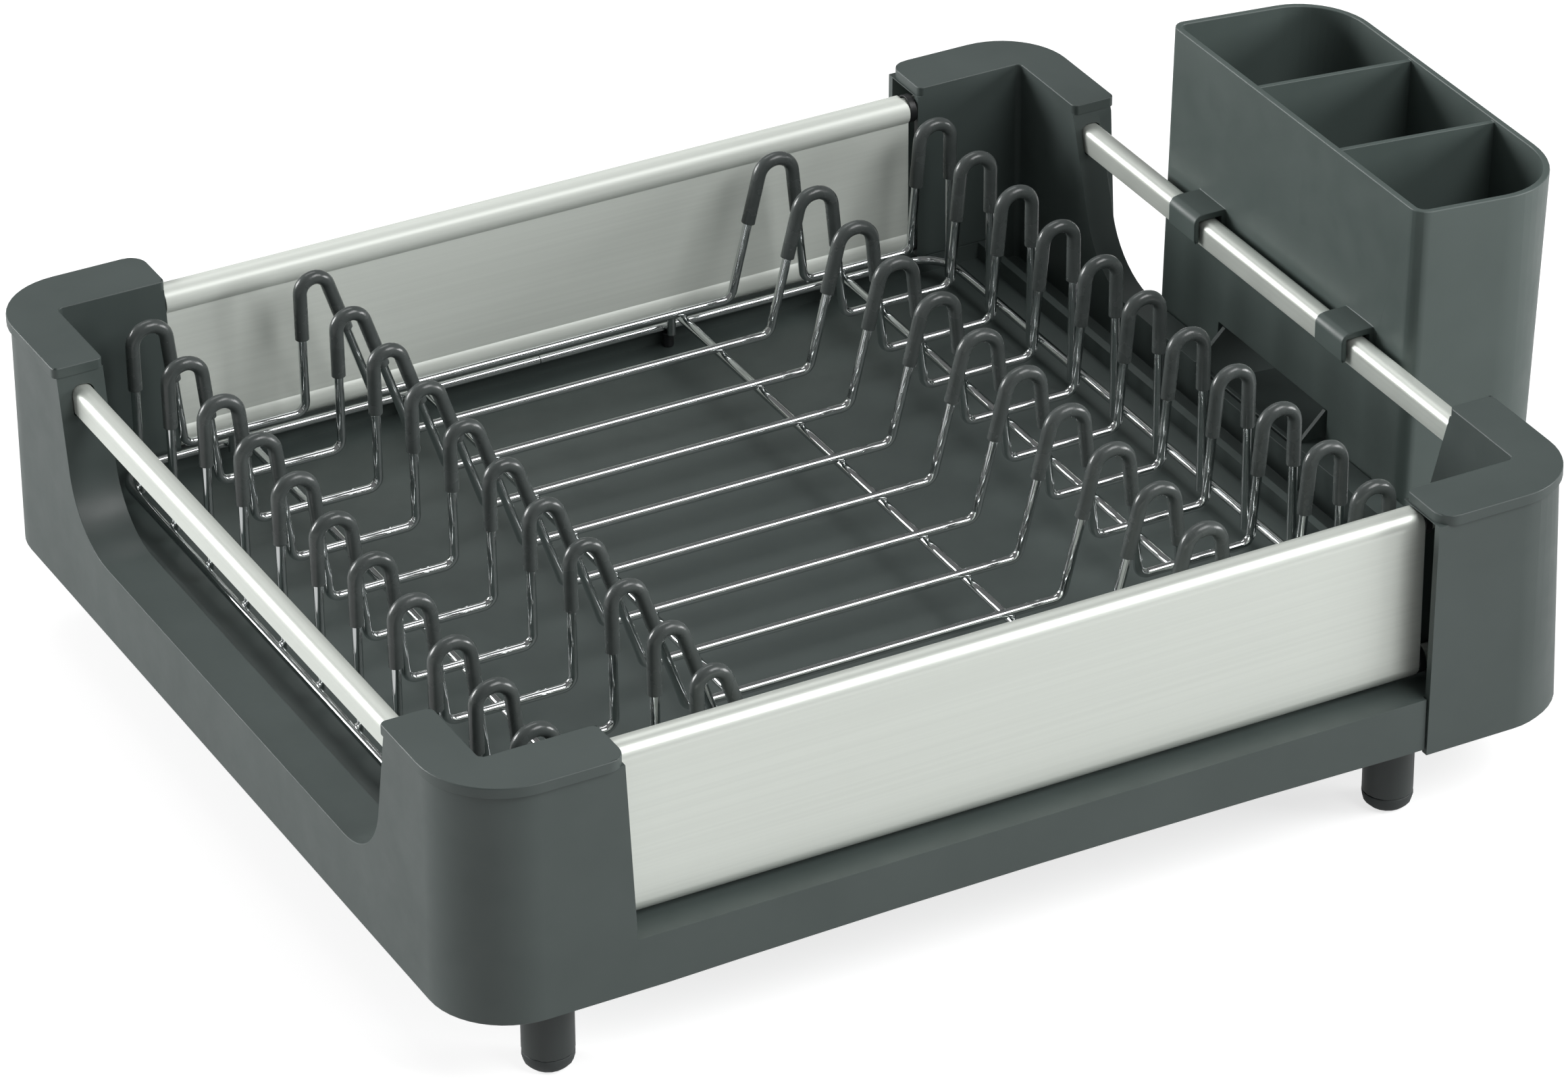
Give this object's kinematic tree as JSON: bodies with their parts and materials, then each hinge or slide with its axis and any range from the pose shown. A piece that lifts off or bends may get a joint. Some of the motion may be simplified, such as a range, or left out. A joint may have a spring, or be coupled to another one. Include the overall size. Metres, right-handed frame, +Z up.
{
  "type": "dish drying rack",
  "caption": "Extending dish drying rack: a plastic tray on legs with aluminium sides, a lift-out wire plate rack and a cutlery caddy hooked over the right rail.",
  "frame": {"origin": "on the table, under the middle of the whole object's box, caddy included", "axes": "+X along the front from left to right, the way the extension pulls out; +Y from front to back; +Z up"},
  "size_m": [0.4406, 0.3404, 0.156],
  "materials": {
    "grey_plastic": "satin moulded plastic",
    "satin_aluminium": "satin anodised",
    "chrome_wire": "bright plated steel wire",
    "coated_wire": "bright plated steel wire with glossy grey plastic coating on its loops",
    "soft_tip": "matte"
  },
  "bodies": {
    "base": {"base_tray": "grey_plastic", "front_panel": "satin_aluminium", "back_panel": "satin_aluminium", "left_rail": "satin_aluminium", "rod_bushing_1": "grey_plastic", "rod_bushing_2": "grey_plastic", "rod_bushing_3": "grey_plastic", "rod_bushing_4": "grey_plastic", "leg_1": "grey_plastic", "leg_2": "grey_plastic", "leg_3": "grey_plastic", "leg_4": "grey_plastic", "leg_tip_1": "soft_tip", "leg_tip_2": "soft_tip", "leg_tip_3": "soft_tip", "leg_tip_4": "soft_tip"},
    "extension": {"extension_tray": "grey_plastic", "right_rail": "satin_aluminium", "slide_rod_1": "satin_aluminium", "slide_rod_2": "satin_aluminium", "slide_rod_3": "satin_aluminium", "slide_rod_4": "satin_aluminium"},
    "rack": {"plate_wire_01": "coated_wire", "plate_wire_02": "coated_wire", "plate_wire_03": "coated_wire", "plate_wire_04": "coated_wire", "plate_wire_05": "coated_wire", "plate_wire_06": "coated_wire", "plate_wire_07": "coated_wire", "plate_wire_08": "coated_wire", "plate_wire_09": "coated_wire", "plate_wire_10": "coated_wire", "plate_wire_11": "coated_wire", "rack_ring": "chrome_wire", "cross_bar_a": "chrome_wire", "cross_bar_b": "chrome_wire", "cross_bar_c": "chrome_wire", "cross_bar_d": "chrome_wire", "rack_foot_1": "grey_plastic", "rack_foot_2": "grey_plastic", "rack_foot_3": "grey_plastic", "rack_foot_4": "grey_plastic"},
    "caddy": {"caddy": "grey_plastic"}
  },
  "joints": [
    {"name": "extension_slide", "type": "slide", "parent": "base", "child": "extension", "axis": [1, 0, 0], "range_m": [0, 0.228]},
    {"name": "rack_lift", "type": "slide", "parent": "base", "child": "rack", "axis": [0, 0, 1], "range_m": [0, 0.12]},
    {"name": "caddy_lift", "type": "slide", "parent": "extension", "child": "caddy", "axis": [0, 0, 1], "range_m": [0, 0.08]}
  ]
}
